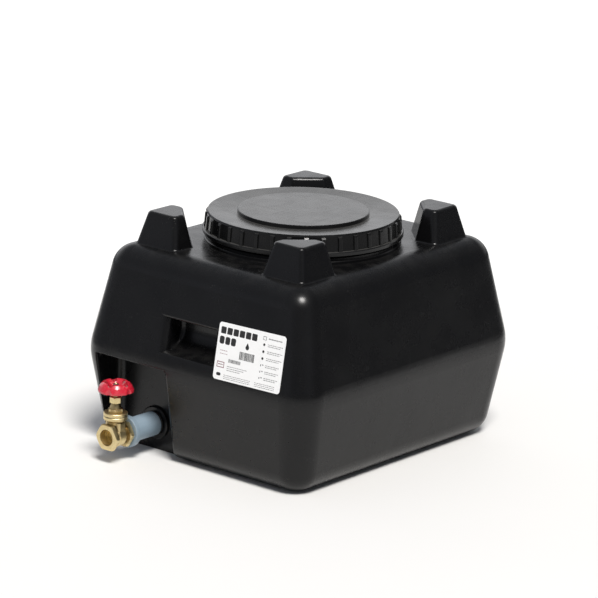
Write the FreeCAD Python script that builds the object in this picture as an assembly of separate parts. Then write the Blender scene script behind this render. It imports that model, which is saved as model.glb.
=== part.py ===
import FreeCAD, Part
import math
import os

# A rotomoulded fresh water tank of about 100 litres, with a ribbed screw lid, four
# stacking lugs, two hand pockets and a 25A (1 inch) outlet that carries a pipe socket,
# a collared double nipple and a brass gate valve.
#
# Millimetres. +Z is up, the lid's axis is the Z axis, and z = 0 is the face that the
# tank stands on. The face with the label, a hand pocket and the outlet looks along -Y.

V = FreeCAD.Vector
ORIGIN = V(0, 0, 0)
X = V(1, 0, 0)
Y = V(0, 1, 0)
Z = V(0, 0, 1)

# ---------------------------------------------------------------- driving dimensions
# Tank body: a base, a wide waist and a deck, joined by flat drafted walls.
WALL = 5.0
WAIST_Z = 180.0
DECK_Z = 373.3
WAIST_HALF = (267.5, 308.0)
DECK_STEP = 38.0
BASE_STEP = 30.0
DECK_CORNER = 43.5
WAIST_CORNER = 56.0
BASE_CORNER = 43.0
DECK_ROUND = 47.0
WAIST_ROUND = 95.0
BASE_ROUND = 45.0

# Stacking lugs: square blocks with the corner that faces the lid cut off.
LUG_TOP_Z = 432.2
LUG_CORNER = (182.6, 220.5)
LUG_LEG = 68.5
LUG_END = 25.5
LUG_DRAFT = 14.5
LUG_ROUND = 12.0
LUG_TOP_ROUND = 7.0
LUG_FOOT_ROUND = 4.5

# Neck and lid.
LID_RIM_Z = 426.6
LID_RIM_R = 172.7
LID_RIM_ROUND = 2.5
LID_PLATE = 4.0
LID_DISC_R = 119.0
LID_DISC_RISE = 3.3
LID_DISH = 3.6
LID_FLANGE_R = 182.0
LID_FLANGE_TOP = 31.0
LID_FLANGE_BOTTOM = 38.8
SKIRT_TOP_R = 174.2
SKIRT_FOOT_R = 176.6
SKIRT_BORE_R = 169.6
RIB_COUNT = 36
RIB_PHASE = 2.0
RIB_WIDTH = 8.0
RIB_FOOT_R = 179.4
RIB_TOP_R = 177.6
RIB_TOP_DROP = 4.5
NECK_R = 165.0
NECK_BORE_R = 158.0
NECK_STEPS = ((178.6, 5.8), (176.2, 12.0))
GASKET_THICK = 2.4
THREAD_PITCH = 12.0
THREAD_HEIGHT = 3.4
THREAD_FOOT = 5.0
THREAD_CREST = 2.4
THREAD_TURNS = 1.2
THREAD_START_Z = 390.0

# Hand pockets, one in each end wall.
POCKET_X = -9.0
POCKET_HALF = 54.0
POCKET_FLARE = 17.0
POCKET_LIP_Z = 207.0
POCKET_TOP_Z = 270.0
POCKET_DEPTH = 51.5
POCKET_FLOOR_SLOPE = 17.0
POCKET_BACK_ROUND = 34.0
POCKET_LIP_ROUND = 5.0
LIP_GAP = 0.05

# Outlet recess below the waist, and the outlet's place in it.
RECESS_X = (-222.0, -58.0)
RECESS_FLARE = 9.0
RECESS_TOP_Z = 176.5
RECESS_LIP_ROUND = 3.0
RECESS_BACK_Y = -240.0
RECESS_ROUND = 16.0
OUTLET_X = -133.0
OUTLET_Z = 50.0
BOSS_R = 31.0
BOSS_PROUD = 6.0
BOSS_INNER = 7.0

# 25A pipe fittings. R 1 is 33.25 mm over the thread and Rp 1 is 30.29 mm across its bore.
THREAD_R = 16.6
THREAD_FIT = 0.05
RP1_BORE_R = 15.15
RP1_PITCH = 2.309
FLOW_R = 12.5
INSERT_STUB = 18.0
INSERT_KEY_R = 23.0
WASHER_THICK = 2.0
SOCKET_R = 22.2
SOCKET_LENGTH = 60.0
SOCKET_ROUND = 2.0
NIPPLE_COLLAR_R = 29.0
NIPPLE_COLLAR = 11.0
NIPPLE_ENGAGE = (17.0, 14.0)
NIPPLE_BARE = (3.0, 2.5)
NIPPLE_BORE_R = 12.8

# Gate valve, measured from its own centre: flow along Y, stem along Z.
VALVE_FACE = 23.5
VALVE_HEX = 45.0
VALVE_HEX_WIDTH = 9.0
VALVE_BARREL_R = 17.5
VALVE_THREAD = 15.0
CHAMBER_HALF = (17.5, 11.0)
CHAMBER_R = 20.5
SEAT_HALF = 3.9
SEAT_SLOPE = 0.045
WEDGE_R = 13.2
WEDGE_GAP = 0.12
WEDGE_TRAVEL = 25.0
COLLAR_R = 21.75
COLLAR_Z = (30.0, 37.0)
BONNET_TOP_Z = 44.1
BONNET_HEX = 24.5
BONNET_HEX_Z = 51.0
BONNET_CONE_Z = 60.8
BONNET_END_Z = 69.0
STEM_R = 4.0
STEM_GAP = 0.06
STEM_FOOT_Z = 13.0
STEM_COLLAR_R = 7.2
STEM_COLLAR_Z = (49.65, 52.3)
GLAND_HEX = 19.5
GLAND_Z = (61.5, 71.7)
WHEEL_R = 32.5
WHEEL_Z = (80.3, 100.0)
WHEEL_LOBES = 5

# Label on the front wall.
LABEL_X = (57.0, 210.0)
LABEL_Z = (191.0, 290.5)
LABEL_TILT = 1.1
LABEL_THICK = 0.35
LABEL_CORNER = 6.0


# ---------------------------------------------------------------- small tools
def wire_of(points):
    """A closed wire of straight runs through the points."""
    return Part.makePolygon([V(*p) for p in points] + [V(*points[0])])


def prism(points, direction):
    """The solid swept by a flat outline along a direction."""
    return Part.Face(wire_of(points)).extrude(direction)


def turned(profile, axis=Z, centre=ORIGIN):
    """A solid of revolution about Z from (radius, height) points, turned to lie along axis."""
    face = Part.Face(wire_of([(r, 0, h) for r, h in profile]))
    solid = face.revolve(ORIGIN, Z, 360)
    solid.Placement = FreeCAD.Placement(centre, FreeCAD.Rotation(Z, axis))
    return solid


def tube(outer, inner, low, high):
    """A plain ring about Z."""
    return turned([(inner, low), (outer, low), (outer, high), (inner, high)])


def hexagon(across_flats, low, high, chamfer, first_corner=0.0):
    """A hexagonal prism about Z whose corners are turned off at both ends."""
    corner = across_flats / math.sqrt(3)
    angles = [math.radians(first_corner + 60 * i) for i in range(6)]
    corners = [(corner * math.cos(a), corner * math.sin(a), low) for a in angles]
    block = prism(corners, V(0, 0, high - low))
    slope = chamfer * math.tan(math.radians(30))
    turned_blank = turned([(0, low), (corner - chamfer, low), (corner, low + slope),
                           (corner, high - slope), (corner - chamfer, high), (0, high)])
    return block.common(turned_blank)


def edges_at_height(shape, z):
    """The edges that lie wholly at one height."""
    return upright_edges(shape, z, z)


def upright_edges(shape, low, high):
    """The edges that run from one height to another."""
    ends = [(e, e.BoundBox.ZMin - low, e.BoundBox.ZMax - high) for e in shape.Edges]
    return [e for e, foot, head in ends if abs(foot) < 1e-3 and abs(head) < 1e-3]


def union(first, others):
    """One solid from a first shape and a list of others."""
    return first.multiFuse(others).removeSplitter() if others else first


def about_lid(shape, degrees):
    """A copy turned about the lid's axis."""
    copy = shape.copy()
    copy.rotate(ORIGIN, Z, degrees)
    return copy


# ---------------------------------------------------------------- tank body
def wall_half(z, axis):
    """Half width of the body's flat wall at a height, along X (0) or Y (1)."""
    if z >= WAIST_Z:
        return WAIST_HALF[axis] - DECK_STEP * (z - WAIST_Z) / (DECK_Z - WAIST_Z)
    return WAIST_HALF[axis] - BASE_STEP * (WAIST_Z - z) / WAIST_Z


def rounded_rectangle(half_x, half_y, radius, z):
    """A horizontal rectangle with arc corners."""
    edges = []
    for quarter, (sx, sy) in enumerate(((1, 1), (-1, 1), (-1, -1), (1, -1))):
        centre = V(sx * (half_x - radius), sy * (half_y - radius), z)
        angles = [math.radians(90 * quarter + a) for a in (0, 45, 90)]
        points = [centre + V(radius * math.cos(a), radius * math.sin(a), 0) for a in angles]
        if edges:
            edges.append(Part.LineSegment(edges[-1].EndPoint, points[0]))
        edges.append(Part.Arc(*points))
    edges.append(Part.LineSegment(edges[-1].EndPoint, edges[0].StartPoint))
    return Part.Wire([e.toShape() for e in edges])


def moulded_body(inset):
    """The body's form without lugs or neck, shrunk by inset on every side."""
    levels = []
    for z, corner in ((inset, BASE_CORNER), (WAIST_Z, WAIST_CORNER), (DECK_Z - inset, DECK_CORNER)):
        side = inset * 1.02
        levels.append(rounded_rectangle(wall_half(z, 0) - side, wall_half(z, 1) - side, corner - inset, z))
    body = Part.makeLoft(levels, True, True)
    for z, radius in ((WAIST_Z, WAIST_ROUND), (DECK_Z - inset, DECK_ROUND), (inset, BASE_ROUND)):
        body = body.makeFillet(radius - inset, edges_at_height(body, z))
    return body


def lug_outline(grow, z, inset):
    """The lug's five-sided plan in the +X +Y corner, grown outwards by a distance."""
    reach = grow - inset
    outer_x = LUG_CORNER[0] + reach
    outer_y = LUG_CORNER[1] + reach
    inner_x = LUG_CORNER[0] - LUG_LEG - reach
    inner_y = LUG_CORNER[1] - LUG_LEG - reach
    end = LUG_END + reach * (1 + math.tan(math.radians(22.5)))
    return [(outer_x, outer_y, z), (inner_x, outer_y, z), (inner_x, outer_y - end, z),
            (outer_x - end, inner_y, z), (outer_x, inner_y, z)]


def lug(inset):
    """One stacking lug, reaching down into the body, shrunk by inset for its hollow."""
    top = LUG_TOP_Z - inset
    depth = DECK_Z - 26.0
    slope = LUG_DRAFT / (LUG_TOP_Z - DECK_Z)
    sections = [wire_of(lug_outline((LUG_TOP_Z - z) * slope, z, inset * 1.03)) for z in (depth, top)]
    block = Part.makeLoft(sections, True, True)
    block = block.makeFillet(LUG_ROUND - inset * 0.6, upright_edges(block, depth, top))
    return block.makeFillet(LUG_TOP_ROUND - inset * 0.6, edges_at_height(block, top))


def four_corners(shape):
    """The shape mirrored into all four corners."""
    right = [shape, shape.mirror(ORIGIN, Y)]
    return right + [s.mirror(ORIGIN, X) for s in right]


def round_lug_feet(shape):
    """Rounds the hollow edges where the four lugs stand on the deck."""
    reach = LUG_DRAFT + 3.0
    limits = [(LUG_CORNER[i] - LUG_LEG - reach, LUG_CORNER[i] + reach) for i in (0, 1)]
    feet = []
    for edge in shape.Edges:
        b = edge.BoundBox
        ends = ((0, b.XMin), (0, b.XMax), (1, b.YMin), (1, b.YMax))
        beside = all(limits[i][0] < abs(v) < limits[i][1] for i, v in ends)
        if beside and DECK_Z - 20.0 < b.ZMin and b.ZMax < DECK_Z + 0.05:
            feet.append(edge)
    return shape.makeFillet(LUG_FOOT_ROUND, feet)


def wall_pocket(x_range, flare, z_range, side_profile, side_rounds, corner_round, lips):
    """What a pocket in the -Y wall removes.

    Its mouth opens with arcs of radius flare at both sides and follows the wall's slope.
    side_profile is its outline in Y and Z, side_rounds the radii by outline corner, and
    corner_round the radius between the pocket's sides and its floor, back and ceiling.
    lips are the mouth's crosswise edges that are rounded over.
    """
    width = x_range[1] - x_range[0]
    bay = prism([(x_range[0], y, z) for y, z in side_profile], V(width, 0, 0))
    hall = prism([(x_range[0] - width, y, z) for y, z in side_profile], V(3 * width, 0, 0))
    for corner, radius in side_rounds:
        bay, hall = [round_crosswise(s, side_profile[corner], radius) for s in (bay, hall)]
    inner_edges = [e for e in bay.Edges
                   if e.BoundBox.XLength < 1e-3 and e.BoundBox.YMax > side_profile[0][0] + 1e-3]
    bay = bay.makeFillet(corner_round, inner_edges)
    for corner, low, high, radius in lips:
        hall = round_lip(hall, corner, low, high, radius)
    return bay.fuse(mouth_block(x_range, flare, z_range).common(hall)).removeSplitter()


def round_crosswise(shape, corner, radius):
    """Rounds the edge along X that lies nearest to a point in Y and Z."""
    crosswise = [e for e in shape.Edges if e.BoundBox.XLength > 1]
    distances = [math.hypot(e.BoundBox.YMin - corner[0], e.BoundBox.ZMin - corner[1]) for e in crosswise]
    return shape.makeFillet(radius, [crosswise[distances.index(min(distances))]])


def round_lip(shape, corner, low, high, radius):
    """Opens a pocket's prism along the wall's face from low to high, and rounds the lip made there."""
    b = shape.BoundBox
    outline = [low, high, (b.YMin, high[1]), (b.YMin, low[1])]
    porch = prism([(b.XMin, y, z) for y, z in outline], V(b.XLength, 0, 0))
    return round_crosswise(shape.fuse(porch).removeSplitter(), corner, radius)


def on_wall(z):
    """The point in Y and Z that lies just outside the flat -Y wall at a height."""
    return (-wall_half(z, 1) - LIP_GAP, z)


def mouth_block(x_range, flare, z_range):
    """The flared mouth of a pocket, from well outside the -Y wall to the end of its arcs."""
    z_low, z_high = z_range
    y_low = -wall_half(z_low, 1)
    y_high = -wall_half(z_high, 1)
    swing = flare * (1 - math.sqrt(0.5))
    outline = []
    for x, out in ((x_range[0], -1), (x_range[1], 1)):
        outside = V(x + out * flare, y_low - 90.0, z_low)
        mouth = V(x + out * flare, y_low, z_low)
        middle = V(x + out * swing, y_low + swing, z_low)
        throat = V(x, y_low + flare, z_low)
        outline.append((outside, mouth, middle, throat))
    low, high = outline
    edges = [Part.LineSegment(low[0], low[1]), Part.Arc(low[1], low[2], low[3])]
    edges += [Part.LineSegment(low[3], high[3]), Part.Arc(high[3], high[2], high[1])]
    edges += [Part.LineSegment(high[1], high[0]), Part.LineSegment(high[0], low[0])]
    plan = Part.Face(Part.Wire([e.toShape() for e in edges]))
    return plan.extrude(V(0, y_high - y_low, z_high - z_low))


def hand_pocket(grow):
    """What the front hand pocket removes: a scoop with a sloping floor and a flat finger ledge on top."""
    lip_y = -wall_half(POCKET_LIP_Z, 1)
    slope = math.tan(math.radians(POCKET_FLOOR_SLOPE))
    drop = grow / math.cos(math.radians(POCKET_FLOOR_SLOPE))
    front_y = lip_y - 30.0
    back_y = lip_y + POCKET_DEPTH + grow
    floor = [(y, POCKET_LIP_Z - drop + slope * (y - lip_y)) for y in (front_y, back_y)]
    top = POCKET_TOP_Z + grow
    profile = floor + [(back_y, top), (front_y, top)]
    x_range = (POCKET_X - POCKET_HALF - grow, POCKET_X + POCKET_HALF + grow)
    z_range = (floor[0][1] - 5.0, top + 9.0)
    rounds = ((1, POCKET_BACK_ROUND - grow), (2, 8.0))
    lips = []
    for z, below, above in ((top, 3.0, 12.0), (POCKET_LIP_Z, 14.0, 3.0)):
        lips.append((on_wall(z), on_wall(z - below), on_wall(z + above), POCKET_LIP_ROUND))
    return wall_pocket(x_range, POCKET_FLARE - grow, z_range, profile, rounds, 9.0, [] if grow else lips)


def outlet_recess(grow):
    """What the outlet recess removes: an upright bay from the waist down through the base edge."""
    front_y = -WAIST_HALF[1] - 30.0
    back_y = RECESS_BACK_Y + grow
    top = RECESS_TOP_Z + grow * 0.9
    foot = -20.0
    profile = [(front_y, foot), (back_y, foot), (back_y, top), (front_y, top)]
    x_range = (RECESS_X[0] - grow, RECESS_X[1] + grow)
    half_turn = (math.atan2(DECK_STEP, DECK_Z - WAIST_Z) + math.atan2(BASE_STEP, WAIST_Z)) / 2
    face_y = -WAIST_HALF[1] + WAIST_ROUND * (1 / math.cos(half_turn) - 1) - LIP_GAP
    lips = [((face_y, top), (face_y, top - 3.0), (face_y, top + 8.0), RECESS_LIP_ROUND)]
    return wall_pocket(x_range, RECESS_FLARE - grow, (foot, WAIST_Z - 0.01), profile,
                       ((2, RECESS_ROUND),), RECESS_ROUND, [] if grow else lips)


def thread_ridge(radius, outward, turns, start_z):
    """A helical ridge of trapezoid section on a cylinder, standing out from it or in from it."""
    sign = 1 if outward else -1
    root = radius - sign * 0.6
    crest = radius + sign * THREAD_HEIGHT
    helix = Part.makeHelix(THREAD_PITCH, THREAD_PITCH * turns, radius)
    half_foot = THREAD_FOOT / 2
    half_crest = THREAD_CREST / 2
    section = wire_of([(root, 0, -half_foot), (crest, 0, -half_crest),
                       (crest, 0, half_crest), (root, 0, half_foot)])
    ridge = Part.Wire(helix).makePipeShell([section], True, True)
    ridge.translate(V(0, 0, start_z))
    return ridge


def gasket_bottom():
    """Height of the neck's top lip, where the lid gasket rests."""
    return LID_RIM_Z - LID_PLATE - GASKET_THICK - LID_DISH


def tank_body():
    """The hollow moulding: body, lugs, neck and threads, less its pockets and its inside."""
    lip = gasket_bottom()
    foot = DECK_Z - 12.0
    neck = [tube(NECK_R, NECK_BORE_R, foot, lip)]
    for radius, rise in NECK_STEPS:
        step = turned([(NECK_BORE_R, foot), (radius, foot), (radius, DECK_Z + rise - 1.5),
                       (radius - 1.5, DECK_Z + rise), (NECK_BORE_R, DECK_Z + rise)])
        neck.append(step)
    neck.append(thread_ridge(NECK_R, True, THREAD_TURNS, THREAD_START_Z))
    outer = round_lug_feet(union(moulded_body(0), four_corners(lug(0))))
    inner = union(moulded_body(WALL), four_corners(lug(WALL)))
    front = hand_pocket(0)
    front_grown = hand_pocket(WALL)
    outer = outer.cut(front).cut(about_lid(front, 180)).cut(outlet_recess(0))
    inner = inner.cut(front_grown).cut(about_lid(front_grown, 180)).cut(outlet_recess(WALL))
    boss = turned([(0, RECESS_BACK_Y - BOSS_PROUD), (BOSS_R - 2, RECESS_BACK_Y - BOSS_PROUD),
                   (BOSS_R, RECESS_BACK_Y - BOSS_PROUD + 2), (BOSS_R, RECESS_BACK_Y + WALL + BOSS_INNER),
                   (0, RECESS_BACK_Y + WALL + BOSS_INNER)], Y, V(OUTLET_X, 0, OUTLET_Z))
    mouth = Part.makeCylinder(NECK_BORE_R, 2 * WALL + 20, V(0, 0, DECK_Z - 2 * WALL))
    shell = outer.cut(inner).cut(mouth)
    shell = union(shell, neck + [boss])
    return shell.cut(insert_envelope()), inner


# ---------------------------------------------------------------- lid
def lid():
    """The ribbed screw lid with its raised disc, skirt, grip ribs, flange and inner thread."""
    top = LID_RIM_Z
    flange_top = top - LID_FLANGE_TOP
    flange_bottom = top - LID_FLANGE_BOTTOM
    under = gasket_bottom() + GASKET_THICK
    disc_under = top + LID_DISC_RISE - LID_PLATE
    edge = LID_RIM_ROUND
    shell = turned([
        (0, disc_under), (LID_DISC_R - 6, disc_under), (LID_DISC_R - 3, under),
        (SKIRT_BORE_R, under), (SKIRT_BORE_R + 1.2, flange_bottom),
        (LID_FLANGE_R - 1, flange_bottom), (LID_FLANGE_R, flange_bottom + 1),
        (LID_FLANGE_R, flange_top - 1.5), (LID_FLANGE_R - 1.5, flange_top),
        (SKIRT_FOOT_R, flange_top + 0.5), (SKIRT_TOP_R, top - edge - 1),
        (LID_RIM_R, top), (LID_RIM_R - 1.5, top),
        (LID_DISC_R + 3, top - LID_DISH), (LID_DISC_R + 0.6, top - LID_DISH),
        (LID_DISC_R, top + LID_DISC_RISE - 1), (LID_DISC_R - 1, top + LID_DISC_RISE),
        (0, top + LID_DISC_RISE)])
    thread_z = THREAD_START_Z + THREAD_PITCH / 2
    ridge = thread_ridge(SKIRT_BORE_R + 0.4, False, THREAD_TURNS, thread_z)
    return union(shell, lid_ribs() + [ridge])


def lid_ribs():
    """The grip ribs round the lid's skirt."""
    top = LID_RIM_Z - RIB_TOP_DROP
    foot = LID_RIM_Z - LID_FLANGE_TOP - 1.0
    root = SKIRT_TOP_R - 2.5
    outline = [(root, foot), (RIB_FOOT_R, foot), (RIB_TOP_R, top - 3.0),
               (RIB_TOP_R - 2.0, top), (root, top + 1.0)]
    rib = prism([(x, -RIB_WIDTH / 2, z) for x, z in outline], V(0, RIB_WIDTH, 0))
    long_edges = [e for e in rib.Edges if e.BoundBox.XMin > RIB_TOP_R - 2.5 and e.BoundBox.ZLength > 10]
    rib = rib.makeFillet(1.8, long_edges)
    return [about_lid(rib, RIB_PHASE + i * 360.0 / RIB_COUNT) for i in range(RIB_COUNT)]


def lid_gasket():
    """The flat rubber ring between the neck's lip and the lid."""
    low = gasket_bottom()
    return tube(SKIRT_BORE_R - 0.6, NECK_BORE_R + 1.0, low, low + GASKET_THICK)


# ---------------------------------------------------------------- outlet fittings
def outlet_stations():
    """The y of each joint face along the outlet, from the boss outwards."""
    boss_face = RECESS_BACK_Y - BOSS_PROUD
    socket_in = boss_face - WASHER_THICK
    socket_out = socket_in - SOCKET_LENGTH
    collar_in = socket_out - NIPPLE_BARE[0]
    collar_out = collar_in - NIPPLE_COLLAR
    valve_in = collar_out - NIPPLE_BARE[1]
    return boss_face, socket_in, socket_out, collar_in, collar_out, valve_in


def on_outlet(profile):
    """A solid turned about the outlet's axis from (radius, y) points."""
    return turned(profile, Y, V(OUTLET_X, 0, OUTLET_Z))


def insert_profile():
    """The outline of the insert: inner sleeve, square key ring and threaded stub."""
    boss_face = outlet_stations()[0]
    inside = RECESS_BACK_Y + WALL + BOSS_INNER
    key = (RECESS_BACK_Y - 2.0, RECESS_BACK_Y + 5.0)
    return [(THREAD_R, boss_face - INSERT_STUB), (THREAD_R, key[0]), (INSERT_KEY_R, key[0]),
            (INSERT_KEY_R, key[1]), (THREAD_R, key[1]), (THREAD_R, inside)]


def insert_envelope():
    """Everything inside the insert's outer surface, which the tank wall is moulded round."""
    outline = insert_profile()
    return on_outlet([(0, outline[0][1])] + outline + [(0, outline[-1][1])])


def drain_insert():
    """The brass insert moulded into the wall, with the bore that the water leaves by."""
    outline = insert_profile()
    return on_outlet([(FLOW_R, outline[0][1])] + outline + [(FLOW_R, outline[-1][1])])


def socket_washer():
    """The rubber washer between the boss and the pipe socket."""
    boss_face, socket_in = outlet_stations()[:2]
    bore = THREAD_R + THREAD_FIT
    return on_outlet([(bore, socket_in), (SOCKET_R, socket_in), (SOCKET_R, boss_face), (bore, boss_face)])


def pipe_socket():
    """The plain PVC socket, threaded inside at both ends."""
    socket_in, socket_out = outlet_stations()[1:3]
    bore = THREAD_R + THREAD_FIT
    deep_in = socket_in - INSERT_STUB - 1.0
    deep_out = socket_out + NIPPLE_ENGAGE[0] + 1.0
    r = SOCKET_ROUND
    return on_outlet([
        (bore, socket_out), (SOCKET_R - r, socket_out), (SOCKET_R, socket_out + r),
        (SOCKET_R, socket_in - r), (SOCKET_R - r, socket_in), (bore, socket_in),
        (bore, deep_in), (NIPPLE_BORE_R, deep_in - 2.0),
        (NIPPLE_BORE_R, deep_out + 2.0), (bore, deep_out)])


def thread_teeth(y_from, y_to):
    """Outline points of pipe thread crests and roots between two faces."""
    count = max(1, int(abs(y_to - y_from) / RP1_PITCH))
    step = (y_to - y_from) / count
    points = []
    for i in range(count):
        base = y_from + i * step
        points.append((THREAD_R, base + 0.15 * step))
        points.append((RP1_BORE_R, base + 0.5 * step))
        points.append((THREAD_R, base + 0.85 * step))
    return points


def nipple():
    """The PVC double nipple with its round collar and a short bare thread each side of it."""
    socket_out, collar_in, collar_out, valve_in = outlet_stations()[2:]
    inner_end = socket_out + NIPPLE_ENGAGE[0]
    outer_end = valve_in - NIPPLE_ENGAGE[1]
    r = 1.0
    outline = [(NIPPLE_BORE_R, outer_end), (THREAD_R - r, outer_end),
               (THREAD_R, outer_end + r), (THREAD_R, valve_in)]
    outline += thread_teeth(valve_in, collar_out)
    outline += [(THREAD_R, collar_out), (NIPPLE_COLLAR_R - r, collar_out),
                (NIPPLE_COLLAR_R, collar_out + r), (NIPPLE_COLLAR_R, collar_in - r),
                (NIPPLE_COLLAR_R - r, collar_in), (THREAD_R, collar_in)]
    outline += thread_teeth(collar_in, socket_out)
    outline += [(THREAD_R, socket_out), (THREAD_R, inner_end - r),
                (THREAD_R - r, inner_end), (NIPPLE_BORE_R, inner_end)]
    return on_outlet(outline)


# ---------------------------------------------------------------- gate valve
def in_valve(shape):
    """Moves a piece from the valve's own centre to its place on the outlet."""
    shape.translate(V(OUTLET_X, outlet_stations()[-1] - VALVE_FACE, OUTLET_Z))
    return shape


def along_flow(profile):
    """A solid turned about the valve's flow axis from (radius, y) points."""
    return turned(profile, Y)


def flow_rod(radius, low, high):
    """A plain rod along the valve's flow axis."""
    return along_flow([(0, low), (radius, low), (radius, high), (0, high)])


def seat_half(z):
    """Half the width of the tapered gate slot at a height."""
    return SEAT_HALF + SEAT_SLOPE * z


def gate_slab(reach, low, high, gap):
    """A slab across the flow with tapered faces, from one height to another."""
    foot = seat_half(low) - gap
    head = seat_half(high) - gap
    points = [(-reach, -foot, low), (-reach, foot, low), (-reach, head, high), (-reach, -head, high)]
    return prism(points, V(2 * reach, 0, 0))


def valve_body():
    """The brass body: hexagonal ends, barrel, gate chamber and the round collar for the bonnet."""
    face = VALVE_FACE
    barrel = flow_rod(VALVE_BARREL_R, -face + 1, face - 1)
    ends = []
    for low in (-face, face - VALVE_HEX_WIDTH):
        end = hexagon(VALVE_HEX, low, low + VALVE_HEX_WIDTH, 2.5)
        end.Placement = FreeCAD.Placement(ORIGIN, FreeCAD.Rotation(Z, Y)).multiply(end.Placement)
        ends.append(end)
    half_x, half_y = CHAMBER_HALF
    chamber_top = COLLAR_Z[0] - 4
    chamber = Part.makeBox(2 * half_x, 2 * half_y, chamber_top, V(-half_x, -half_y, 0))
    chamber = chamber.makeFillet(7.0, upright_edges(chamber, 0, chamber_top))
    bottom = along_flow([(0, -half_y + 1), (CHAMBER_R - 3, -half_y + 1), (CHAMBER_R, -half_y + 4),
                         (CHAMBER_R, half_y - 4), (CHAMBER_R - 3, half_y - 1), (0, half_y - 1)])
    low, high = COLLAR_Z
    collar = turned([(0, low - 8), (16, low - 8), (16, low - 3), (COLLAR_R - 1.5, low), (COLLAR_R, low + 1.5),
                     (COLLAR_R, high - 1), (COLLAR_R - 1, high), (0, high)])
    solid = union(barrel, ends + [chamber, bottom, collar])
    inlet = flow_rod(THREAD_R + THREAD_FIT, face - VALVE_THREAD, face + 1)
    outlet = flow_rod(RP1_BORE_R, -face - 1, -face + VALVE_THREAD)
    flow = flow_rod(FLOW_R, -face, face)
    slot = gate_slab(WEDGE_R + 0.4, 0.0, low + 2, 0.0)
    round_slot = gate_slab(WEDGE_R + 0.4, -WEDGE_R - 1, 0.0, 0.0)
    round_slot = round_slot.common(flow_rod(WEDGE_R + 0.4, -9, 9))
    bonnet_bore = Part.makeCylinder(16.5, 20, V(0, 0, low + 0.1))
    for hollow in (inlet, outlet, flow, slot, round_slot, bonnet_bore):
        solid = solid.cut(hollow)
    return in_valve(solid)


def bonnet_gasket():
    """The thin gasket under the bonnet's flange."""
    return in_valve(tube(COLLAR_R - 0.8, 16.5, COLLAR_Z[1], COLLAR_Z[1] + 0.6))


def valve_bonnet():
    """The bonnet: spigot, flange, hexagon, neck and packing box, hollow for the rising gate."""
    low, high = COLLAR_Z
    flange = high + 0.6
    end = BONNET_END_Z
    cone = BONNET_CONE_Z
    blank = turned([
        (0, low + 0.2), (16.4, low + 0.2), (16.4, flange), (COLLAR_R - 1, flange),
        (COLLAR_R, flange + 1), (COLLAR_R, BONNET_TOP_Z - 1), (COLLAR_R - 1, BONNET_TOP_Z),
        (11.0, BONNET_TOP_Z), (11.0, BONNET_HEX_Z), (7.4, cone), (8.2, cone),
        (8.2, end - 0.8), (7.4, end), (0, end)])
    solid = union(blank, [hexagon(BONNET_HEX, BONNET_TOP_Z, BONNET_HEX_Z, 1.5, 15.0)])
    stem_hole = STEM_R + STEM_GAP
    collar_top = STEM_COLLAR_Z[1] + 0.1
    hollow = turned([
        (0, low), (14.2, low), (14.2, 41.0), (12.5, 42.5), (7.8, 43.0), (7.8, collar_top),
        (stem_hole, collar_top), (stem_hole, cone - 0.8), (6.2, cone - 0.8),
        (6.2, end + 1), (0, end + 1)])
    return in_valve(solid.cut(hollow))


def stem_retainer():
    """The threaded ring that holds the stem's collar up in the bonnet."""
    return in_valve(tube(7.75, STEM_R + 0.3, STEM_COLLAR_Z[0] - 2.4, STEM_COLLAR_Z[0] - 0.05))


def stem_packing():
    """The packing round the stem."""
    return in_valve(tube(6.15, STEM_R + STEM_GAP, BONNET_CONE_Z - 0.8, BONNET_CONE_Z + 4.5))


def gland_follower():
    """The ring that the gland nut presses on the packing."""
    foot = BONNET_CONE_Z + 4.5
    head = GLAND_Z[1] - 2.3
    return in_valve(tube(6.1, STEM_R + STEM_GAP, foot, head))


def gland_nut():
    """The hexagonal nut over the packing box."""
    low, high = GLAND_Z
    nut = hexagon(GLAND_HEX, low, high, 1.2)
    hole = STEM_R + 0.3
    under = high - 2.3
    hollow = turned([(0, low - 1), (8.25, low - 1), (8.25, under),
                     (hole, under), (hole, high + 1), (0, high + 1)])
    return in_valve(nut.cut(hollow))


def valve_stem():
    """The non-rising stem: gate thread, thrust collar, packed shank, wheel seat and screwed tip."""
    low, high = STEM_COLLAR_Z
    seat = WHEEL_Z[0] + 0.7
    foot = STEM_FOOT_Z
    return in_valve(turned([
        (0, foot), (STEM_R - 0.8, foot), (STEM_R, foot + 0.8), (STEM_R, low),
        (STEM_COLLAR_R, low), (STEM_COLLAR_R, high), (STEM_R, high), (STEM_R, seat),
        (3.2, seat), (3.2, 91.0), (2.5, 91.0), (2.5, 97.4), (2.0, 98.0), (0, 98.0)]))


def valve_wedge():
    """The gate: a tapered disc with a boss that the stem screws into."""
    slab = gate_slab(WEDGE_R, -WEDGE_R - 1, 12.0, WEDGE_GAP)
    disc = slab.common(flow_rod(WEDGE_R, -9, 9))
    boss = turned([(0, -6), (6.5, -6), (6.5, 20.7), (5.7, 21.5), (0, 21.5)])
    boss = boss.common(gate_slab(WEDGE_R, -6, 21.6, WEDGE_GAP + 0.05))
    bore = Part.makeCylinder(STEM_R + STEM_GAP, 40, V(0, 0, STEM_FOOT_Z - WEDGE_TRAVEL - 0.6))
    return in_valve(union(disc, [boss]).cut(bore))


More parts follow.
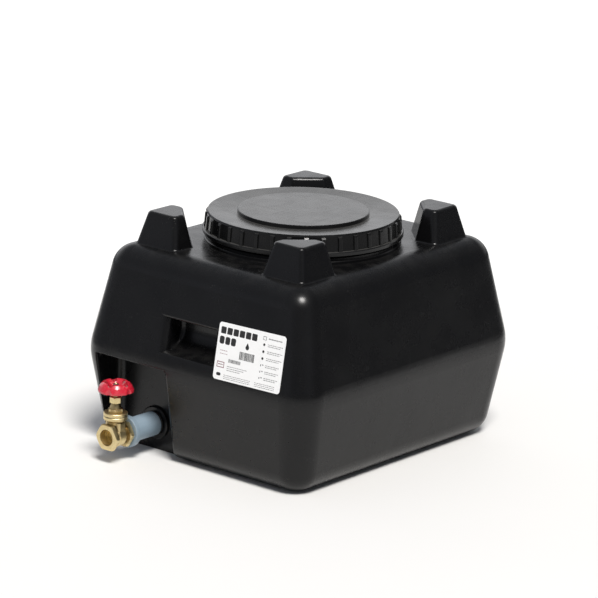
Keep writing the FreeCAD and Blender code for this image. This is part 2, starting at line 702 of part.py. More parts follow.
def handwheel():
    """The cast handwheel: hub, domed web with a window between each pair of spokes, scalloped rim."""
    foot, crown = WHEEL_Z
    hub_hole = STEM_R + 1.5
    blank = turned([
        (3.25, foot + 0.7), (3.25, 90.0), (8.0, 90.0), (10.5, 91.0), (15.0, 96.0),
        (18.5, crown - 1), (21.5, crown), (24.5, crown - 1), (29.0, 94.0),
        (WHEEL_R, 86.5), (WHEEL_R, 83.5), (WHEEL_R - 2.0, 82.3), (WHEEL_R - 4.5, 84.0),
        (26.5, 90.5), (23.0, 95.6), (21.5, 96.2), (19.5, 95.4), (15.0, 90.0),
        (11.0, 84.0), (9.0, foot), (hub_hole, foot), (hub_hole, foot + 0.7)])
    for i in range(WHEEL_LOBES):
        angle = math.radians(360.0 / WHEEL_LOBES * i)
        outwards = V(math.cos(angle), math.sin(angle), 0)
        window = Part.makeCylinder(6.6, 40, outwards * 20.5 + V(0, 0, 80))
        scallop = Part.makeCylinder(9.0, 40, outwards * 38.6 + V(0, 0, 75))
        blank = blank.cut(window).cut(scallop)
    return in_valve(blank)


def handwheel_washer():
    """The washer under the wheel's nut."""
    return in_valve(tube(6.0, 3.3, 90.0, 91.0))


def handwheel_nut():
    """The nut that holds the wheel on the stem."""
    return in_valve(hexagon(10.0, 91.0, 96.0, 0.8).cut(Part.makeCylinder(2.55, 20, V(0, 0, 85))))


# ---------------------------------------------------------------- label
def product_label():
    """A thin sheet with rounded corners on the flat part of the front wall."""
    width = LABEL_X[1] - LABEL_X[0]
    slope = math.atan2(DECK_STEP, DECK_Z - WAIST_Z)
    height = (LABEL_Z[1] - LABEL_Z[0]) / math.cos(slope)
    sheet = Part.makeBox(width, height, LABEL_THICK, V(-width / 2, -height / 2, 0))
    corners = [e for e in sheet.Edges if e.BoundBox.ZLength > LABEL_THICK / 2]
    sheet = sheet.makeFillet(LABEL_CORNER, corners)
    sheet.rotate(ORIGIN, Z, LABEL_TILT)
    sheet.rotate(ORIGIN, X, 90 - math.degrees(slope))
    middle_z = sum(LABEL_Z) / 2
    sheet.translate(V(sum(LABEL_X) / 2, -wall_half(middle_z, 1), middle_z))
    return sheet


def main():
    """Builds every piece and writes one STEP file for each."""
    os.makedirs("parts", exist_ok=True)
    tank, inside = tank_body()
    pieces = {"tank_body": tank}
    for build in (lid, lid_gasket, drain_insert, socket_washer, pipe_socket, nipple, valve_body,
                  bonnet_gasket, valve_bonnet, stem_retainer, stem_packing, gland_follower, gland_nut,
                  valve_stem, valve_wedge, handwheel, handwheel_washer, handwheel_nut, product_label):
        pieces[build.__name__] = build()
    for name, shape in pieces.items():
        shape.exportStep(f"parts/{name}.step")
        volume = shape.Volume / 1000
        print(f"{name}: solids {len(shape.Solids)}, valid {shape.isValid()}, volume {volume:.2f} cm3")
    print(f"inside of the body: {inside.Volume / 1e6:.1f} litres")


main()
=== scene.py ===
import math
import random

import bmesh
import bpy
from mathutils import Matrix, Vector


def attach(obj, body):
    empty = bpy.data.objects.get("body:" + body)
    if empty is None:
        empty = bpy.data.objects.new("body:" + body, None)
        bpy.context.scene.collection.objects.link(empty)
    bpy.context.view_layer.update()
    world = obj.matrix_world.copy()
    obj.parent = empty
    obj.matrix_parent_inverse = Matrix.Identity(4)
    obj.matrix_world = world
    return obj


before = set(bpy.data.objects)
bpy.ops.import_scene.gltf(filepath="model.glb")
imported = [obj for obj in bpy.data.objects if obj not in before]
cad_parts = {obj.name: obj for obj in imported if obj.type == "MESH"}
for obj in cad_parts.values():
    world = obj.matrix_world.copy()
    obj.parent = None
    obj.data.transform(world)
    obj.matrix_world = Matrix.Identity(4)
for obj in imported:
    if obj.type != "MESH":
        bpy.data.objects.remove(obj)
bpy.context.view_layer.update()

MM = 0.001

# The camera: a long lens at eye level, looking at the corner between the label's face and the
# right face. The azimuth is counted from the label's face.
AZIMUTH = math.radians(39.789)
ELEVATION = math.radians(15.887)
ROLL = math.radians(1.606)
DISTANCE = 7.085
LENS = 234.78
SENSOR_WIDTH = 36
CLIP_END = 100
AIM_HEIGHT = 0.2604
AIM_SIDE = -0.00363

# The floor, a hair below the tank's base.
FLOOR_RADIUS = 1.0
FLOOR_DROP = 0.2 * MM

# The key light: a sun over the viewer's right shoulder.
KEY_SIDE = math.radians(15)
KEY_HEIGHT = math.radians(58)
KEY_STRENGTH = 3.65
KEY_SPREAD = math.radians(19)
KEY_COLOUR = (1.0, 0.975, 0.945)
KEY_DISTANCE = 4

# The dome: its shades by the height of the direction, from straight down (-1) to straight up (1).
DOME = (
    (-1.0, (1.15, 1.145, 1.13)),
    (-0.19, (1.15, 1.145, 1.13)),
    (-0.13, (0.15, 0.153, 0.165)),
    (0.0, (0.25, 0.26, 0.29)),
    (0.15, (0.43, 0.445, 0.50)),
    (0.45, (0.30, 0.315, 0.35)),
    (1.0, (0.30, 0.315, 0.35)),
)
# It glows low behind the object. A spread is the cosines of the angles from its way at which the
# change begins and is full. The rise and the fall are heights, like the dome's.
GLOW = 0.85
GLOW_WAY = (-0.62, 0.74, 0.25)
GLOW_SPREAD = (0.35, 0.95)
GLOW_RISE = (0.0, 0.12)
GLOW_FALL = (0.38, 0.62)
GLOW_TINT = (1.0, 0.995, 0.98)
# It is darker beyond the object's right face, and behind the viewer.
BEYOND_DARK = 0.30
BEYOND_WAY = (0.64, 0.77, 0.0)
BEYOND_SPREAD = (0.2, 0.9)
NEAR_DARK = 0.45
NEAR_WAY = (0.64, -0.76, 0.11)
NEAR_SPREAD = (0.72, 0.98)
# Below the horizon it is never darkened, so that it joins the floor.
LOW_BLEND = (-0.18, -0.12)

# Polyethylene's gloss is weaker than the shader's usual.
POLYETHYLENE = {"IOR": 1.5, "Specular_IOR_Level": 0.3}

# The mould's parting line runs round the waist: half round, sunk until it stands 0.07 mm proud.
WAIST_Z = 180 * MM
FLASH_WIDTH = 1.1 * MM
FLASH_HEIGHT = 0.22 * MM
FLASH_SINK = 0.15 * MM
FLASH_ROOT = 0.6 * MM
FLASH_POINTS = 5
SAME_POINT = 0.001 * MM

# The label: its print is laid out in shares of its width and height, from the lower left corner.
LABEL_TILT = math.radians(1.1)
INK_THICKNESS = 0.03 * MM
LABEL_SEED = 41
CORNER_POINTS = 5
WORD_LENGTHS = (0.010, 0.035)
WORD_LEAST = 0.004
WORD_GAP = 0.006
BAR_WIDTHS = (0.0034, 0.0056, 0.0084, 0.0112)
BAR_LEAST = 0.002
BAR_GAPS = (0.0028, 0.0056)
LINE_STEP = 0.030
NOTES_U = 0.745


# ------------------------------------------------------------------ node tools

class Nodes:
    """Makes and links the nodes of one material or world."""

    def __init__(self, tree):
        self.tree = tree

    def node(self, kind, **settings):
        made = self.tree.nodes.new(kind)
        for key, value in settings.items():
            setattr(made, key, value)
        return made

    def link(self, source, target):
        self.tree.links.new(source, target)

    def feed(self, target, value):
        """Links a socket, or sets a plain value."""
        if isinstance(value, bpy.types.NodeSocket):
            self.link(value, target)
        elif hasattr(value, "__len__") and len(value) == 3 and target.type == "RGBA":
            target.default_value = (*value, 1)
        else:
            target.default_value = value

    def span(self, value, low, high, to_low=0.0, to_high=1.0, ease="LINEAR"):
        """value taken from low..high to to_low..to_high, clamped."""
        made = self.node("ShaderNodeMapRange", interpolation_type=ease)
        self.link(value, made.inputs["Value"])
        made.inputs["From Min"].default_value = low
        made.inputs["From Max"].default_value = high
        made.inputs["To Min"].default_value = to_low
        made.inputs["To Max"].default_value = to_high
        return made.outputs["Result"]

    def maths(self, operation, first, second):
        made = self.node("ShaderNodeMath", operation=operation)
        self.feed(made.inputs[0], first)
        self.feed(made.inputs[1], second)
        return made.outputs["Value"]

    def height_of(self, vector):
        """A vector's Z."""
        parts = self.node("ShaderNodeSeparateXYZ")
        self.link(vector, parts.inputs[0])
        return parts.outputs["Z"]


# ------------------------------------------------------------------ camera, floor and light

def look_directions():
    """Right, up and back of the camera before its roll."""
    a, e = AZIMUTH, ELEVATION
    back = Vector((math.sin(a) * math.cos(e), -math.cos(a) * math.cos(e), math.sin(e)))
    right = Vector((math.cos(a), math.sin(a), 0))
    return right, back.cross(right), back


def make_camera():
    right, up, back = look_directions()
    aim = Vector((0, 0, AIM_HEIGHT)) + right * AIM_SIDE
    rolled_right = right * math.cos(ROLL) + up * math.sin(ROLL)
    rolled_up = up * math.cos(ROLL) - right * math.sin(ROLL)
    data = bpy.data.cameras.new("camera")
    data.lens = LENS
    data.sensor_width = SENSOR_WIDTH
    data.clip_end = CLIP_END
    camera = bpy.data.objects.new("camera", data)
    turn = Matrix((rolled_right, rolled_up, back)).transposed().to_4x4()
    camera.matrix_world = Matrix.Translation(aim + back * DISTANCE) @ turn
    bpy.context.scene.collection.objects.link(camera)
    bpy.context.scene.camera = camera


def make_floor():
    """A wide pale disc that fills the view below the horizon."""
    mesh = bpy.data.meshes.new("floor")
    bm = bmesh.new()
    bmesh.ops.create_circle(bm, cap_ends=True, segments=128, radius=FLOOR_RADIUS)
    bm.to_mesh(mesh)
    bm.free()
    floor = bpy.data.objects.new("floor", mesh)
    floor.location.z = -FLOOR_DROP
    bpy.context.scene.collection.objects.link(floor)
    paint = Paint("floor_paint")
    paint.colour(paint.mixed(paint.noise(1.5, 3), (0.80, 0.795, 0.78), (0.82, 0.815, 0.80)))
    paint.set(Roughness=0.8)
    mesh.materials.append(paint.material)


def make_key_light():
    """One soft sun from above the viewer's right shoulder."""
    a, e = AZIMUTH + KEY_SIDE, KEY_HEIGHT
    towards = Vector((math.sin(a) * math.cos(e), -math.cos(a) * math.cos(e), math.sin(e)))
    data = bpy.data.lights.new("key", "SUN")
    data.energy = KEY_STRENGTH
    data.angle = KEY_SPREAD
    data.color = KEY_COLOUR
    lamp = bpy.data.objects.new("key", data)
    lamp.rotation_euler = towards.to_track_quat("Z", "Y").to_euler()
    lamp.location = towards * KEY_DISTANCE
    bpy.context.scene.collection.objects.link(lamp)


def make_world():
    """A studio dome: pale below, dim round the horizon, and bright low behind the object."""
    world = bpy.data.worlds.new("studio")
    bpy.context.scene.world = world
    world.use_nodes = True
    sky = Nodes(world.node_tree)
    direction = sky.node("ShaderNodeTexCoord").outputs["Generated"]
    height = sky.height_of(direction)

    def toward(way, spread, low, high):
        """low to high as the direction comes round to a way."""
        made = sky.node("ShaderNodeVectorMath", operation="DOT_PRODUCT")
        made.inputs[1].default_value = way
        sky.link(direction, made.inputs[0])
        return sky.span(made.outputs["Value"], *spread, low, high, "SMOOTHSTEP")

    ramp = sky.node("ShaderNodeValToRGB")
    while len(ramp.color_ramp.elements) < len(DOME):
        ramp.color_ramp.elements.new(0.5)
    for element, (level, shade) in zip(ramp.color_ramp.elements, DOME):
        element.position = (level + 1) / 2
        element.color = (*shade, 1)
    sky.link(sky.span(height, -1, 1), ramp.inputs["Fac"])

    rise = sky.span(height, *GLOW_RISE, 0, 1, "SMOOTHSTEP")
    fall = sky.span(height, *GLOW_FALL, 1, 0, "SMOOTHSTEP")
    band = sky.maths("MULTIPLY", rise, fall)
    glow = sky.maths("MULTIPLY", toward(GLOW_WAY, GLOW_SPREAD, 0, GLOW), band)
    beyond = toward(BEYOND_WAY, BEYOND_SPREAD, 1, BEYOND_DARK)
    near = toward(NEAR_WAY, NEAR_SPREAD, 1, NEAR_DARK)
    low = sky.span(height, *LOW_BLEND, 1, 0, "SMOOTHSTEP")
    share = sky.maths("MAXIMUM", sky.maths("MULTIPLY", beyond, near), low)

    dimmed = sky.node("ShaderNodeVectorMath", operation="SCALE")
    sky.link(ramp.outputs["Color"], dimmed.inputs["Vector"])
    sky.link(share, dimmed.inputs["Scale"])
    total = sky.node("ShaderNodeVectorMath", operation="MULTIPLY_ADD")
    total.inputs[1].default_value = GLOW_TINT
    sky.link(glow, total.inputs[0])
    sky.link(dimmed.outputs["Vector"], total.inputs[2])
    sky.link(total.outputs["Vector"], sky.tree.nodes["Background"].inputs["Color"])


# ------------------------------------------------------------------ material tools

class Paint(Nodes):
    """One procedural material on a Principled shader, in the object's own metres."""

    def __init__(self, name):
        self.material = bpy.data.materials.new(name)
        self.material.use_nodes = True
        super().__init__(self.material.node_tree)
        self.shader = self.tree.nodes["Principled BSDF"]
        self.place = self.node("ShaderNodeTexCoord").outputs["Object"]

    def set(self, **values):
        """Sets the shader's sockets, with underscores for the spaces in their names."""
        for name, value in values.items():
            self.feed(self.shader.inputs[name.replace("_", " ")], value)

    def colour(self, value):
        self.feed(self.shader.inputs["Base Color"], value)

    def placed(self, stretch):
        mapping = self.node("ShaderNodeMapping")
        mapping.inputs["Scale"].default_value = stretch
        self.link(self.place, mapping.inputs["Vector"])
        return mapping.outputs["Vector"]

    def noise(self, scale, detail=3.0, rough=0.5, stretch=None):
        """Cloudy noise, 0 to 1, with scale features per metre."""
        made = self.node("ShaderNodeTexNoise")
        made.inputs["Scale"].default_value = scale
        made.inputs["Detail"].default_value = detail
        made.inputs["Roughness"].default_value = rough
        self.link(self.placed(stretch) if stretch else self.place, made.inputs["Vector"])
        return made.outputs["Fac"]

    def cells(self, scale):
        """Distance to the nearest of scale points per metre."""
        made = self.node("ShaderNodeTexVoronoi")
        made.inputs["Scale"].default_value = scale
        self.link(self.place, made.inputs["Vector"])
        return made.outputs["Distance"]

    def mixed(self, share, first, second):
        """Colour first, turning into second as share goes from 0 to 1."""
        made = self.node("ShaderNodeMix", data_type="RGBA")
        colours = [s for s in made.inputs if s.type == "RGBA"]
        self.feed(made.inputs["Factor"], share)
        self.feed(colours[0], first)
        self.feed(colours[1], second)
        return [s for s in made.outputs if s.type == "RGBA"][0]

    def facing_up(self):
        return self.height_of(self.node("ShaderNodeNewGeometry").outputs["Normal"])

    def pointiness(self):
        """Below 0.5 in the hollows and above it on the outer edges."""
        return self.node("ShaderNodeNewGeometry").outputs["Pointiness"]

    def bump(self, *layers):
        """Adds bump layers, each (height, distance in metres, strength)."""
        last = None
        for height, distance, strength in layers:
            made = self.node("ShaderNodeBump")
            made.inputs["Distance"].default_value = distance
            made.inputs["Strength"].default_value = strength
            self.link(height, made.inputs["Height"])
            if last is not None:
                self.link(last, made.inputs["Normal"])
            last = made.outputs["Normal"]
        self.link(last, self.shader.inputs["Normal"])


# ------------------------------------------------------------------ materials

def tank_polyethylene():
    """Black rotomoulded polyethylene: glossy, faintly uneven, with dust on top and pale specks."""
    p = Paint("tank_polyethylene")
    cloud = p.span(p.noise(9, 4), 0.3, 0.7)
    black = p.mixed(cloud, (0.0032, 0.0032, 0.0036), (0.0050, 0.0050, 0.0053))
    top = p.span(p.facing_up(), 0.6, 1.0)
    dust = p.maths("MULTIPLY", top, p.span(p.noise(38, 6, 0.65), 0.42, 0.75))
    dusty = p.mixed(p.maths("MULTIPLY", dust, 0.10), black, (0.10, 0.095, 0.085))
    patch = p.span(p.noise(17, 3, 0.6), 0.62, 0.66)
    speck = p.maths("MULTIPLY", p.span(p.cells(260), 0.05, 0.10, 1, 0), patch)
    p.colour(p.mixed(speck, dusty, (0.20, 0.195, 0.185)))
    scuff = p.span(p.noise(75, 5, 0.6), 0.60, 0.75)
    polish = p.span(p.noise(14, 3), 0.3, 0.7, 0.23, 0.29)
    worn = p.maths("MULTIPLY", p.maths("MAXIMUM", scuff, dust), 0.07)
    p.set(Roughness=p.maths("ADD", polish, worn), **POLYETHYLENE)
    p.bump(
        (p.noise(5, 2), 4.0 * MM, 0.5),
        (p.noise(26, 2), 0.45 * MM, 0.45),
        (p.noise(420, 3, 0.55), 0.035 * MM, 0.5),
    )
    return p.material


def lid_polyethylene():
    """Black injection moulded polyethylene: satin, with handling marks across the top, and a
    painted sheen that lightens the top's colour.
    """
    p = Paint("lid_polyethylene")
    cloud = p.span(p.noise(16, 5, 0.6), 0.35, 0.7)
    black = p.mixed(cloud, (0.0045, 0.0045, 0.0048), (0.0075, 0.0075, 0.0074))
    top = p.span(p.facing_up(), 0.75, 1.0)
    # Painted sheen: this mask lightens the top faces' colour towards grey in place of the sky's
    # reflection. It also makes the top a little rougher.
    haze_and_painted_sheen = p.maths("MULTIPLY", top, p.span(p.noise(22, 6, 0.65), 0.3, 0.7, 0.35, 0.65))
    p.colour(p.mixed(p.maths("MULTIPLY", haze_and_painted_sheen, 0.80), black, (0.115, 0.113, 0.108)))
    scratch = p.span(p.noise(70, 4, 0.6, (0.10, 2.2, 1)), 0.56, 0.70)
    across = p.span(p.noise(90, 4, 0.6, (2.4, 0.12, 1)), 0.58, 0.72)
    marks = p.maths("MULTIPLY", top, p.maths("MAXIMUM", scratch, across))
    worn = p.maths("ADD", p.maths("MULTIPLY", haze_and_painted_sheen, 0.08), p.maths("MULTIPLY", marks, 0.07))
    satin = p.span(p.noise(30, 3), 0.3, 0.7, 0.19, 0.25)
    p.set(Roughness=p.maths("ADD", worn, satin), **POLYETHYLENE)
    p.bump(
        (p.noise(11, 2), 1.2 * MM, 0.4),
        (p.noise(520, 3, 0.6), 0.03 * MM, 0.5),
        (marks, 0.02 * MM, 0.4),
    )
    return p.material


def black_rubber():
    p = Paint("black_rubber")
    p.colour(p.mixed(p.noise(90, 4), (0.016, 0.016, 0.016), (0.032, 0.031, 0.030)))
    p.set(Roughness=p.span(p.noise(200, 3), 0.3, 0.7, 0.55, 0.75))
    p.bump((p.noise(900, 3, 0.6), 0.06 * MM, 0.6))
    return p.material


def sealing_fibre():
    """Compressed fibre of the gland packing and the bonnet gasket."""
    p = Paint("sealing_fibre")
    strands = p.noise(600, 5, 0.7, (1, 1, 4))
    p.colour(p.mixed(strands, (0.07, 0.065, 0.06), (0.19, 0.175, 0.155)))
    p.set(Roughness=0.85)
    p.bump((strands, 0.10 * MM, 0.7))
    return p.material


def cast_brass(name, grain, shine):
    """Dull yellow brass. grain is the sand cast texture's height and shine its lowest roughness."""
    p = Paint(name)
    tarnish = p.span(p.noise(60, 6, 0.62), 0.35, 0.70)
    metal = p.mixed(tarnish, (0.66, 0.52, 0.265), (0.47, 0.37, 0.19))
    worn = p.span(p.pointiness(), 0.51, 0.56)
    hollow = p.span(p.pointiness(), 0.44, 0.50, 1.0, 0.0)
    dark = p.mixed(p.maths("MULTIPLY", hollow, 0.6), metal, (0.17, 0.125, 0.06))
    p.colour(p.mixed(p.maths("MULTIPLY", worn, 0.7), dark, (0.80, 0.66, 0.36)))
    p.set(Metallic=1.0, Roughness=p.span(p.noise(140, 5, 0.6), 0.3, 0.7, shine, shine + 0.16))
    p.bump(
        (p.noise(900, 4, 0.65), grain, 0.7),
        (p.noise(90, 3), 3 * grain, 0.3),
    )
    return p.material


def red_enamel():
    """Gloss enamel over cast iron, rubbed through a little on the outer edges."""
    p = Paint("red_enamel")
    red = p.mixed(p.noise(70, 4), (0.50, 0.010, 0.028), (0.62, 0.020, 0.042))
    edge = p.span(p.pointiness(), 0.56, 0.62)
    chip = p.maths("MULTIPLY", edge, p.span(p.noise(420, 5, 0.7), 0.52, 0.60))
    p.colour(p.mixed(chip, red, (0.10, 0.085, 0.08)))
    gloss = p.span(p.noise(160, 3), 0.3, 0.7, 0.20, 0.32)
    p.set(Roughness=p.maths("ADD", gloss, p.maths("MULTIPLY", chip, 0.3)))
    p.set(Coat_Weight=0.6, Coat_Roughness=0.12)
    p.bump(
        (p.noise(240, 3, 0.6), 0.12 * MM, 0.5),
        (p.noise(1100, 3), 0.02 * MM, 0.4),
    )
    return p.material


def zinc_steel():
    p = Paint("zinc_steel")
    p.colour(p.mixed(p.noise(300, 5, 0.6), (0.52, 0.52, 0.50), (0.66, 0.66, 0.65)))
    p.set(Metallic=1.0, Roughness=p.span(p.noise(500, 4), 0.3, 0.7, 0.24, 0.40))
    p.bump((p.noise(1400, 3), 0.02 * MM, 0.5))
    return p.material


def grey_pvc(name, light, dark, streak):
    """Blue-grey PVC. streak stretches its faint marks along the way that it was made."""
    p = Paint(name)
    p.colour(p.mixed(p.span(p.noise(120, 4, 0.6, streak), 0.3, 0.7), light, dark))
    p.set(Roughness=p.span(p.noise(200, 4, 0.6, streak), 0.3, 0.7, 0.34, 0.46), IOR=1.53)
    p.bump(
        (p.noise(260, 3, 0.6, streak), 0.06 * MM, 0.5),
        (p.noise(1200, 3), 0.015 * MM, 0.5),
    )
    return p.material


def label_film():
    """White printed film with a faint paper tone and a soft sheen."""
    p = Paint("label_film")
    p.colour(p.mixed(p.noise(45, 5, 0.6), (0.90, 0.90, 0.89), (0.95, 0.95, 0.945)))
    p.set(Roughness=p.span(p.noise(120, 3), 0.3, 0.7, 0.34, 0.46))
    p.bump((p.noise(30, 2), 0.12 * MM, 0.4), (p.noise(900, 3), 0.012 * MM, 0.4))
    return p.material


def ink(name, dark, light):
    """Printing ink, a little uneven."""
    p = Paint(name)
    p.colour(p.mixed(p.noise(700, 4), dark, light))
    p.set(Roughness=p.span(p.noise(300, 2), 0.3, 0.7, 0.35, 0.5))
    return p.material


def paint_nodes():
    """Gives every CAD node its material."""
    body, lid = tank_polyethylene(), lid_polyethylene()
    rubber, fibre = black_rubber(), sealing_fibre()
    rough_brass = cast_brass("cast_brass", 0.10 * MM, 0.34)
    turned_brass = cast_brass("turned_brass", 0.02 * MM, 0.22)
    steel = zinc_steel()
    along_pipe, even = (1, 0.06, 1), (1, 1, 1)
    pipe = grey_pvc("grey_pvc", (0.245, 0.325, 0.395), (0.285, 0.365, 0.430), along_pipe)
    moulded = grey_pvc("dark_grey_pvc", (0.215, 0.285, 0.345), (0.255, 0.330, 0.390), even)
    finishes = {
        "tank_body": body, "lid": lid, "lid_gasket": rubber, "socket_washer": rubber,
        "drain_insert": turned_brass, "pipe_socket": pipe, "nipple": moulded,
        "valve_body": rough_brass, "valve_bonnet": rough_brass, "gland_nut": turned_brass,
        "valve_stem": turned_brass, "valve_wedge": rough_brass, "stem_retainer": turned_brass,
        "gland_follower": turned_brass, "stem_packing": fibre, "bonnet_gasket": fibre,
        "handwheel": red_enamel(), "handwheel_washer": steel, "handwheel_nut": steel,
        "product_label": label_film(),
    }
    for name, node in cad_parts.items():
        node.data.materials.clear()
        node.data.materials.append(finishes[name])


# ------------------------------------------------------------------ mesh tools

def new_piece(name, bm, material):
    """Makes a mesh into a piece that rides on the tank."""
    bmesh.ops.recalc_face_normals(bm, faces=bm.faces)
    mesh = bpy.data.meshes.new(name)
    bm.to_mesh(mesh)
    bm.free()
    mesh.materials.append(material)
    piece = bpy.data.objects.new(name, mesh)
    bpy.context.scene.collection.objects.link(piece)
    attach(piece, "tank")
    return piece


def add_prism(bm, outline, rise):
    """A closed prism on an outline of points, raised by a vector."""
    low = [bm.verts.new(p) for p in outline]
    high = [bm.verts.new(p + rise) for p in outline]
    bm.faces.new(low)
    bm.faces.new(list(reversed(high)))
    for i in range(len(outline)):
        j = (i + 1) % len(outline)
        bm.faces.new((low[i], low[j], high[j], high[i]))


# ------------------------------------------------------------------ parting line

def waist_outline():
    """The tank's outer section at the waist, as points in order."""
    bm = bmesh.new()
    bm.from_mesh(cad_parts["tank_body"].data)
    bmesh.ops.remove_doubles(bm, verts=bm.verts, dist=SAME_POINT)
    everything = bm.verts[:] + bm.edges[:] + bm.faces[:]
    level = {"plane_co": (0, 0, WAIST_Z), "plane_no": (0, 0, 1)}
    cut = bmesh.ops.bisect_plane(bm, geom=everything, **level)["geom_cut"]
    near = {}
    for edge in cut:
        if isinstance(edge, bmesh.types.BMEdge):
            for v in edge.verts:
                near.setdefault(v, []).append(edge.other_vert(v))
    here = max(near, key=lambda v: v.co.x)
    loop = []
    while here is not None:
        loop.append(here)
        here = next((v for v in near[here] if v not in loop), None)
    points = [v.co.copy() for v in loop]
    bm.free()
    return points


def parting_line(material):
    """The thin raised line that the mould's two halves leave round the waist."""
    points = waist_outline()
    bm = bmesh.new()
    rings = []
    for i, p in enumerate(points):
        along = points[(i + 1) % len(points)] - points[i - 1]
        out = along.cross(Vector((0, 0, 1))).normalized()
        if out.dot(p) < 0:
            out = -out
        ring = []
        for k in range(FLASH_POINTS):
            a = math.pi * k / (FLASH_POINTS - 1)
            height = math.sin(a) * FLASH_HEIGHT - FLASH_SINK
            side = Vector((0, 0, -math.cos(a) * FLASH_WIDTH / 2))
            ring.append(bm.verts.new(p + side + out * height))
        ring.append(bm.verts.new(p - out * FLASH_ROOT))
        rings.append(ring)
    for i, ring in enumerate(rings):
        after = rings[(i + 1) % len(rings)]
        for k in range(len(ring)):
            n = (k + 1) % len(ring)
            bm.faces.new((ring[k], ring[n], after[n], after[k]))
    piece = new_piece("parting_line", bm, material)
    for face in piece.data.polygons:
        face.use_smooth = True


# ------------------------------------------------------------------ label print

class LabelFace:
    """The label's outer face: its directions, its size, and squash, its height over its width."""

    def __init__(self):
        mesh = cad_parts["product_label"].data
        front = [f for f in mesh.polygons if f.normal.y < -0.5 and f.area > 0]
        self.out = sum((f.normal * f.area for f in front), Vector()).normalized()
        level = Vector((0, 0, 1)).cross(self.out).normalized()
        slope = self.out.cross(level)
        self.right = level * math.cos(LABEL_TILT) + slope * math.sin(LABEL_TILT)
        self.up = self.out.cross(self.right)
        points = [mesh.vertices[i].co for f in front for i in f.vertices]
        across = [p.dot(self.right) for p in points]
        tall = [p.dot(self.up) for p in points]
        self.width, self.height = max(across) - min(across), max(tall) - min(tall)
        self.face = max(p.dot(self.out) for p in points)
        self.left, self.low = min(across), min(tall)
        self.squash = self.height / self.width

    def at(self, u, v):
        """A point a third of the ink's thickness below the face."""
        flat = self.right * (self.left + u * self.width) + self.up * (self.low + v * self.height)
        return flat + self.out * (self.face - INK_THICKNESS / 3)


class Print:
    """Marks of one ink on the label."""

    def __init__(self, face):
        self.face = face
        self.bm = bmesh.new()

    def shape(self, points):
        add_prism(self.bm, [self.face.at(u, v) for u, v in points], self.face.out * INK_THICKNESS)

    def block(self, u, v, width, height, corner=0.0):
        """A rectangle from its lower left corner, with corners rounded by a share of its height."""
        r = corner * height
        across = r * self.face.squash
        if r == 0:
            self.shape([(u, v), (u + width, v), (u + width, v + height), (u, v + height)])
            return
        points = []
        for cu, cv, start in ((1, 0, 270), (1, 1, 0), (0, 1, 90), (0, 0, 180)):
            for k in range(CORNER_POINTS):
                a = math.radians(start + 90 * k / (CORNER_POINTS - 1))
                middle_u = u + (width - across if cu else across)
                middle_v = v + (height - r if cv else r)
                points.append((middle_u + across * math.cos(a), middle_v + r * math.sin(a)))
        self.shape(points)

    def dot(self, u, v, radius, sides=20):
        across = radius * self.face.squash
        angles = [2 * math.pi * k / sides for k in range(sides)]
        self.shape([(u + across * math.cos(a), v + radius * math.sin(a)) for a in angles])

    def blocks(self, count, u, v, step, width, height, corner):
        """Blocks side by side, as large letters would stand."""
        for k in range(count):
            self.block(u + step * k, v, width, height, corner)

    def drop(self, u, v, radius):
        """A water drop: a circle drawn out to a point above."""
        across = radius * self.face.squash
        points = [(u, v + 2.1 * radius)]
        for degrees in range(150, 391, 15):
            a = math.radians(degrees)
            points.append((u + across * math.cos(a), v + radius * math.sin(a)))
        self.shape(points)

    def outline(self, u, v, width, height, line):
        """A rectangle's outline."""
        upright = line * self.face.squash
        self.block(u, v, width, line)
        self.block(u, v + height - line, width, line)
        self.block(u, v + line, upright, height - 2 * line)
        self.block(u + width - upright, v + line, upright, height - 2 * line)

    def words(self, chance, u, v, width, height):
        """A line of small print, as short bars of uneven length."""
        at = u
        while at < u + width - WORD_LEAST:
            length = min(chance.uniform(*WORD_LENGTHS), u + width - at)
            self.block(at, v, length, height)
            at += length + WORD_GAP

    def lines(self, chance, count, u, v, width, shorter=0.0, height=0.010, step=LINE_STEP):
        """Lines of small print below one another, each shorter than the one above."""
        for row in range(count):
            self.words(chance, u, v - step * row, width - shorter * row, height)

    def bars(self, chance, u, v, width, height):
        """A stretch of upright bars of uneven width."""
        at = u
        while at < u + width - BAR_LEAST:
            thick = chance.choice(BAR_WIDTHS)
            self.block(at, v, thick, height)
            at += thick + chance.choice(BAR_GAPS)


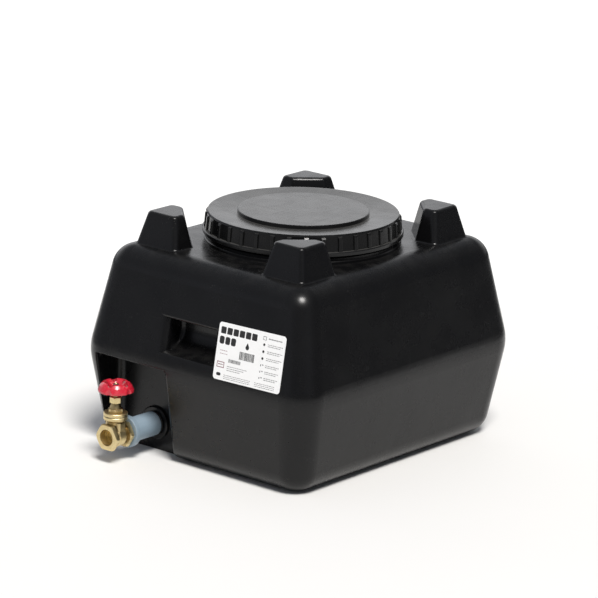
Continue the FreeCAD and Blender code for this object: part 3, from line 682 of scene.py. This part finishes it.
def print_label():
    """Generic print in the usual places: heavy blocks, a drop, bars, signs and small lines.

    Each mark has its lower left corner or its middle first, and then its size.
    """
    face = LabelFace()
    chance = random.Random(LABEL_SEED)
    black, grey, red = Print(face), Print(face), Print(face)
    black.blocks(6, 0.035, 0.805, 0.093, 0.078, 0.120, 0.15)
    black.blocks(3, 0.030, 0.625, 0.086, 0.072, 0.135, 0.25)
    black.drop(0.450, 0.655, 0.040)
    black.bars(chance, 0.350, 0.425, 0.225, 0.140)
    red.lines(chance, 2, 0.060, 0.510, 0.115, step=0.055)
    red.outline(0.035, 0.215, 0.110, 0.105, 0.014)
    red.words(chance, 0.055, 0.262, 0.070, 0.018)
    black.block(0.045, 0.070, 0.065, 0.055, 0.5)
    grey.bars(chance, 0.200, 0.330, 0.170, 0.060)
    grey.lines(chance, 3, 0.190, 0.255, 0.30, shorter=0.05, step=0.035)
    for row in range(3):
        foot = 0.095 - LINE_STEP * row
        grey.words(chance, 0.155, foot, 0.40, 0.009)
        grey.words(chance, 0.620, foot, 0.30, 0.009)
    grey.words(chance, NOTES_U, 0.885, 0.20, 0.018)
    grey.outline(0.665, 0.860, 0.050, 0.065, 0.009)
    for k in range(3):
        height = 0.780 - 0.120 * k
        black.dot(0.690, height, 0.024)
        grey.lines(chance, 2, NOTES_U, height + 0.008, 0.225, shorter=0.04, height=0.011)
    for k in range(3):
        height = 0.415 - 0.110 * k
        black.block(0.672, height - 0.012, 0.012, 0.030)
        grey.block(0.700, height + 0.005, 0.018, 0.020)
        grey.lines(chance, 2, NOTES_U, height + 0.010, 0.200, shorter=0.03, height=0.011)
    black_ink = ink("black_ink", (0.012,) * 3, (0.022,) * 3)
    grey_ink = ink("grey_ink", (0.13,) * 3, (0.17,) * 3)
    red_ink = ink("red_ink", (0.22, 0.10, 0.12), (0.27, 0.12, 0.14))
    new_piece("label_print_black", black.bm, black_ink)
    new_piece("label_print_grey", grey.bm, grey_ink)
    new_piece("label_print_red", red.bm, red_ink)


# ------------------------------------------------------------------ the scene

bpy.context.scene.view_settings.view_transform = "Standard"
make_camera()
make_floor()
make_world()
make_key_light()
paint_nodes()
parting_line(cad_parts["tank_body"].data.materials[0])
print_label()
